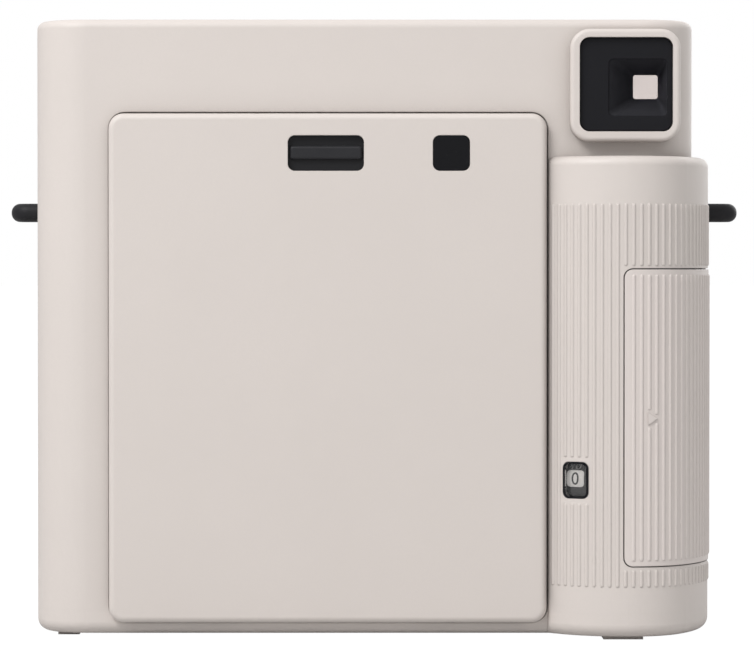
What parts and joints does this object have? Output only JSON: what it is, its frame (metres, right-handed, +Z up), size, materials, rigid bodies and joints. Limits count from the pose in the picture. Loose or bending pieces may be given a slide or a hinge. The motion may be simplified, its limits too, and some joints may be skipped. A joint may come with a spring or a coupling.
{
  "type": "instant camera",
  "caption": "Instant camera for square film: moulded two-half shell with a ribbed grip column, hinged film door, telescoping lens, finder, flash and roller film drive.",
  "frame": {"origin": "middle of the bounding box, on the plane of the feet", "axes": "+X to the viewer's right hand (the grip side), +Y the way the lens looks, +Z up"},
  "size_m": [0.143, 0.0576, 0.1186],
  "materials": {
    "chalk_shell": "satin",
    "black_plastic": "satin",
    "black_gloss": "gloss",
    "inner_plastic": "matt",
    "ring_plastic": "satin",
    "clear_pane": "clear",
    "optic_glass": "polished, coated",
    "mirror_face": "mirror",
    "steel": "ground",
    "spring_steel": "drawn",
    "aluminium": "satin",
    "brass": "turned",
    "gear_plastic": "moulded",
    "board": "lacquered laminate",
    "board_chip": "moulded",
    "felt": "felt",
    "bare_aluminium": "polished",
    "cell_skin": "shrink sleeve",
    "drum_white": "printed"
  },
  "bodies": {
    "camera_body": {"rear_cover": "chalk_shell", "front_cover": "chalk_shell", "door_hinge_pins": "steel", "battery_door_pin": "steel", "battery_box": "inner_plastic", "battery_cells": "cell_skin", "battery_contacts": "spring_steel", "strap_lug_right": "black_plastic", "strap_lug_left": "black_plastic", "eyepiece_frame": "black_plastic", "eyepiece_lens": "optic_glass", "finder_tube": "inner_plastic", "finder_objective": "optic_glass", "finder_window": "optic_glass", "counter_window": "black_gloss", "lens_base": "inner_plastic", "button_spring": "spring_steel", "release_switch": "board_chip", "flash_window": "clear_pane", "flash_reflector": "bare_aluminium", "flash_tube": "optic_glass", "flash_capacitor": "aluminium", "sensor_window": "black_gloss", "main_board": "board", "board_parts": "board_chip", "board_screws": "steel", "film_chamber": "inner_plastic", "light_tunnel": "inner_plastic", "chassis_screws": "steel", "case_screws": "steel", "drive_motor": "aluminium", "roller_bracket": "inner_plastic", "roller_springs": "spring_steel", "exit_trim": "black_plastic", "exit_light_seal": "felt"},
    "film_door": {"film_door": "chalk_shell", "door_window": "black_gloss", "pack_springs": "spring_steel", "latch_springs": "spring_steel"},
    "door_latch": {"door_latch": "black_plastic"},
    "battery_door": {"battery_door": "chalk_shell"},
    "lens_ring": {"lens_ring": "ring_plastic", "dial_face": "black_plastic"},
    "lens_barrel": {"lens_barrel": "black_plastic", "barrel_face": "black_plastic", "selfie_mirror": "mirror_face", "front_element": "optic_glass", "element_retainer": "inner_plastic", "shutter_housing": "inner_plastic", "rear_element": "optic_glass", "shutter_solenoid": "steel"},
    "shutter_blade_left": {"shutter_blade_left": "steel"},
    "shutter_blade_right": {"shutter_blade_right": "steel"},
    "shutter_button": {"shutter_button": "ring_plastic"},
    "counter_dial": {"counter_dial": "drum_white"},
    "front_roller": {"front_roller": "steel"},
    "rear_roller": {"rear_roller": "steel"},
    "idler_gear": {"idler_gear": "gear_plastic"},
    "motor_pinion": {"motor_pinion": "brass"},
    "film_claw": {"film_claw": "gear_plastic"}
  },
  "joints": [
    {"name": "film_door_hinge", "type": "hinge", "parent": "camera_body", "child": "film_door", "pos_m": [0, -0.0219, 0.0046], "axis": [1, 0, 0], "range_deg": [0, 90]},
    {"name": "door_latch_slide", "type": "slide", "parent": "film_door", "child": "door_latch", "axis": [0, 0, -1], "range_m": [0, 0.002], "stiffness_N_per_m": 150, "deforming": ["latch_springs"]},
    {"name": "battery_door_hinge", "type": "hinge", "parent": "camera_body", "child": "battery_door", "pos_m": [0.0643, -0.0036, 0.0425], "axis": [0, 0, 1], "range_deg": [0, 90]},
    {"name": "lens_ring_turn", "type": "hinge", "parent": "camera_body", "child": "lens_ring", "pos_m": [-0.0089, 0.024, 0.046], "axis": [0, 1, 0], "range_deg": [0, 100]},
    {"name": "lens_barrel_slide", "type": "slide", "parent": "camera_body", "child": "lens_barrel", "axis": [0, 1, 0], "range_m": [0, 0.016]},
    {"name": "shutter_left_swing", "type": "hinge", "parent": "lens_barrel", "child": "shutter_blade_left", "pos_m": [-0.0167, 0.0105, 0.0538], "axis": [0, 1, 0], "range_deg": [0, 50]},
    {"name": "shutter_right_swing", "type": "hinge", "parent": "lens_barrel", "child": "shutter_blade_right", "pos_m": [-0.0011, 0.0111, 0.0538], "axis": [0, 1, 0], "range_deg": [-50, 0]},
    {"name": "shutter_button_press", "type": "slide", "parent": "camera_body", "child": "shutter_button", "axis": [0, -1, 0], "range_m": [0, 0.0012], "stiffness_N_per_m": 600, "deforming": ["button_spring"]},
    {"name": "counter_dial_turn", "type": "hinge", "parent": "camera_body", "child": "counter_dial", "pos_m": [0.04172, -0.01989, 0.03052], "axis": [0.8634, -0.5045, 0], "range_deg": [0, 327]},
    {"name": "front_roller_spin", "type": "hinge", "parent": "camera_body", "child": "front_roller", "pos_m": [-0.0089, 0.0003, 0.1055], "axis": [1, 0, 0], "continuous": true},
    {"name": "rear_roller_spin", "type": "hinge", "parent": "camera_body", "child": "rear_roller", "pos_m": [-0.0089, -0.0068, 0.1055], "axis": [1, 0, 0], "continuous": true},
    {"name": "idler_gear_spin", "type": "hinge", "parent": "camera_body", "child": "idler_gear", "pos_m": [-0.0595, 0.00599, 0.09721], "axis": [1, 0, 0], "continuous": true},
    {"name": "motor_pinion_spin", "type": "hinge", "parent": "camera_body", "child": "motor_pinion", "pos_m": [-0.0595, 0.0085, 0.088], "axis": [1, 0, 0], "continuous": true},
    {"name": "film_claw_push", "type": "slide", "parent": "camera_body", "child": "film_claw", "axis": [0, 0, 1], "range_m": [0, 0.007]}
  ],
  "couplings": [
    {"joint": "lens_barrel_slide", "follows": "lens_ring_turn", "m_per_rad": 0.009167},
    {"joint": "shutter_right_swing", "follows": "shutter_left_swing", "ratio": -1},
    {"joint": "rear_roller_spin", "follows": "front_roller_spin", "ratio": -1},
    {"joint": "idler_gear_spin", "follows": "front_roller_spin", "ratio": -0.53846},
    {"joint": "motor_pinion_spin", "follows": "front_roller_spin", "ratio": 1.1667}
  ]
}
